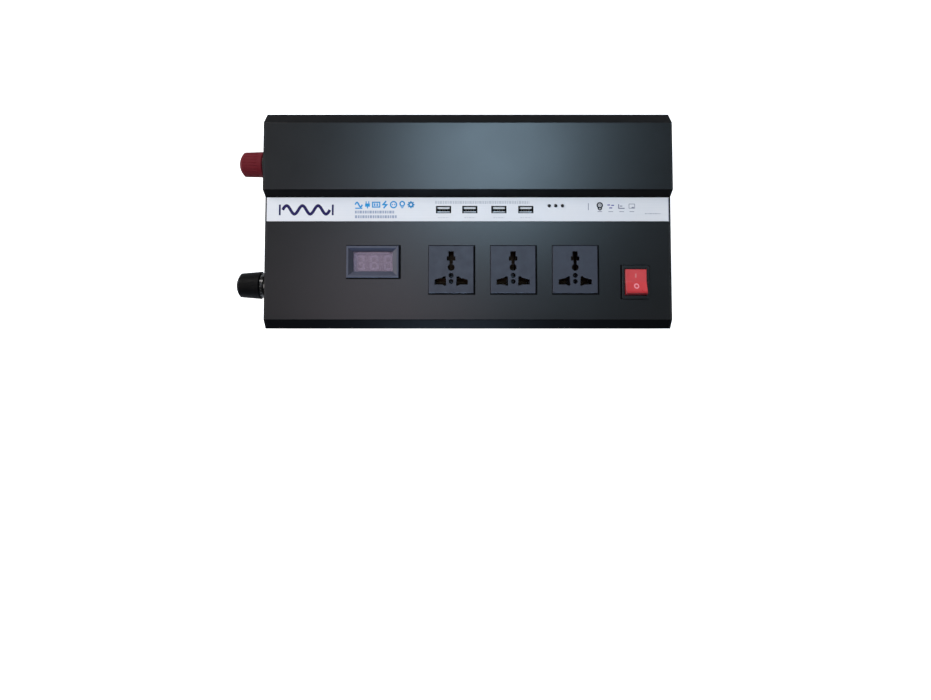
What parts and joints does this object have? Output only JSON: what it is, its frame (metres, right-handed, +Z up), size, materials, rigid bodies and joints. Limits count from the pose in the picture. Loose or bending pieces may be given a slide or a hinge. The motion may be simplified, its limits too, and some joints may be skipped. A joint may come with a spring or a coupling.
{
  "type": "power inverter",
  "caption": "Black power inverter with a stepped aluminium case, meter, universal AC sockets, USB ports, rocker switch, screw-knob battery terminals and cooling fans.",
  "frame": {"origin": "centre of the four mounting slots, on the underside of the tray", "axes": "+X from the battery terminals towards the fans, +Y from the low front panel towards the raised back, +Z up out of the panel"},
  "size_m": [0.4257, 0.2018, 0.085],
  "materials": {
    "cover_paint": "satin black powder coat",
    "tray_paint": "matt black paint",
    "label_film": "printed silver-white film, satin",
    "screw_steel": "black oxide",
    "plated_brass": "nickel plated, turned",
    "contact_brass": "bright",
    "copper": "bright copper",
    "red_plastic": "semi-gloss red",
    "black_plastic": "semi-matt black",
    "socket_plastic": "fine matt, dark blue-grey",
    "meter_plastic": "satin dark grey",
    "meter_window": "smoked, clear",
    "display_face": "unlit display",
    "rocker_plastic": "gloss red",
    "usb_steel": "bright nickel",
    "usb_plastic": "white",
    "lamp_epoxy": "dark tinted epoxy",
    "circuit_board": "green solder mask",
    "ferrite": "ground ferrite",
    "winding": "enamelled copper wire",
    "sink_aluminium": "extruded, plain",
    "semiconductor": "moulded epoxy",
    "capacitor_sleeve": "shrink sleeve",
    "fuse_plastic": "amber",
    "wire_insulation": "PVC"
  },
  "bodies": {
    "root": {"top_cover": "cover_paint", "left_end_plate": "cover_paint", "right_end_plate": "cover_paint", "base_tray": "tray_paint", "label_strip": "label_film", "end_plate_screws": "screw_steel", "side_screws": "screw_steel", "fan_screws": "screw_steel", "board_screws": "screw_steel", "positive_terminal_stud": "plated_brass", "negative_terminal_stud": "plated_brass", "stud_nuts": "plated_brass", "board_standoffs": "plated_brass", "socket_contacts_1": "contact_brass", "socket_contacts_2": "contact_brass", "socket_contacts_3": "contact_brass", "switch_terminals": "contact_brass", "dc_busbars": "copper", "positive_terminal_base": "black_plastic", "negative_terminal_base": "black_plastic", "switch_housing": "black_plastic", "fan_frame_front": "black_plastic", "fan_frame_rear": "black_plastic", "ac_socket_1": "socket_plastic", "ac_socket_2": "socket_plastic", "ac_socket_3": "socket_plastic", "meter_bezel": "meter_plastic", "meter_window": "meter_window", "meter_display": "display_face", "usb_shell_1": "usb_steel", "usb_shell_2": "usb_steel", "usb_shell_3": "usb_steel", "usb_shell_4": "usb_steel", "usb_tongues": "usb_plastic", "status_lamps": "lamp_epoxy", "main_board": "circuit_board", "control_board": "circuit_board", "meter_board": "circuit_board", "io_board": "circuit_board", "transformer_cores": "ferrite", "transformer_windings": "winding", "output_choke": "winding", "fan_stators": "winding", "heat_sink_front": "sink_aluminium", "heat_sink_rear": "sink_aluminium", "power_transistors": "semiconductor", "capacitors": "capacitor_sleeve", "input_fuses": "fuse_plastic", "wiring_harness": "wire_insulation"},
    "rocker": {"switch_rocker": "rocker_plastic", "switch_plungers": "usb_steel"},
    "contact_bridges": {"switch_contact_bridges": "contact_brass"},
    "positive_washer": {"positive_clamp_washer": "plated_brass"},
    "positive_knob": {"positive_knob": "red_plastic", "positive_knob_insert": "plated_brass"},
    "negative_washer": {"negative_clamp_washer": "plated_brass"},
    "negative_knob": {"negative_knob": "black_plastic", "negative_knob_insert": "plated_brass"},
    "fan_rotor_front": {"fan_rotor_front": "black_plastic"},
    "fan_rotor_rear": {"fan_rotor_rear": "black_plastic"}
  },
  "joints": [
    {"name": "switch_press", "type": "hinge", "parent": "root", "child": "rocker", "pos_m": [0.1528, -0.056, 0.0772], "axis": [1, 0, 0], "range_deg": [0, 22]},
    {"name": "contact_tilt", "type": "hinge", "parent": "root", "child": "contact_bridges", "pos_m": [0.1528, -0.056, 0.0625], "axis": [1, 0, 0], "range_deg": [-16, 0]},
    {"name": "positive_clamp_travel", "type": "slide", "parent": "root", "child": "positive_washer", "axis": [-1, 0, 0], "range_m": [0, 0.0125]},
    {"name": "positive_knob_turn", "type": "hinge", "parent": "positive_washer", "child": "positive_knob", "pos_m": [-0.1945, 0.0568, 0.04], "axis": [-1, 0, 0], "range_deg": [0, 3600]},
    {"name": "negative_clamp_travel", "type": "slide", "parent": "root", "child": "negative_washer", "axis": [-1, 0, 0], "range_m": [-0.0008, 0.0117]},
    {"name": "negative_knob_turn", "type": "hinge", "parent": "negative_washer", "child": "negative_knob", "pos_m": [-0.1945, -0.0606, 0.04], "axis": [-1, 0, 0], "range_deg": [-230.4, 3369.6]},
    {"name": "front_fan_spin", "type": "hinge", "parent": "root", "child": "fan_rotor_front", "pos_m": [0.1745, -0.047, 0.036], "axis": [1, 0, 0], "continuous": true},
    {"name": "rear_fan_spin", "type": "hinge", "parent": "root", "child": "fan_rotor_rear", "pos_m": [0.1745, 0.047, 0.036], "axis": [1, 0, 0], "continuous": true}
  ],
  "couplings": [
    {"joint": "contact_tilt", "follows": "switch_press", "ratio": -0.727},
    {"joint": "positive_clamp_travel", "follows": "positive_knob_turn", "m_per_rad": 0.00019894},
    {"joint": "negative_clamp_travel", "follows": "negative_knob_turn", "m_per_rad": 0.00019894}
  ]
}
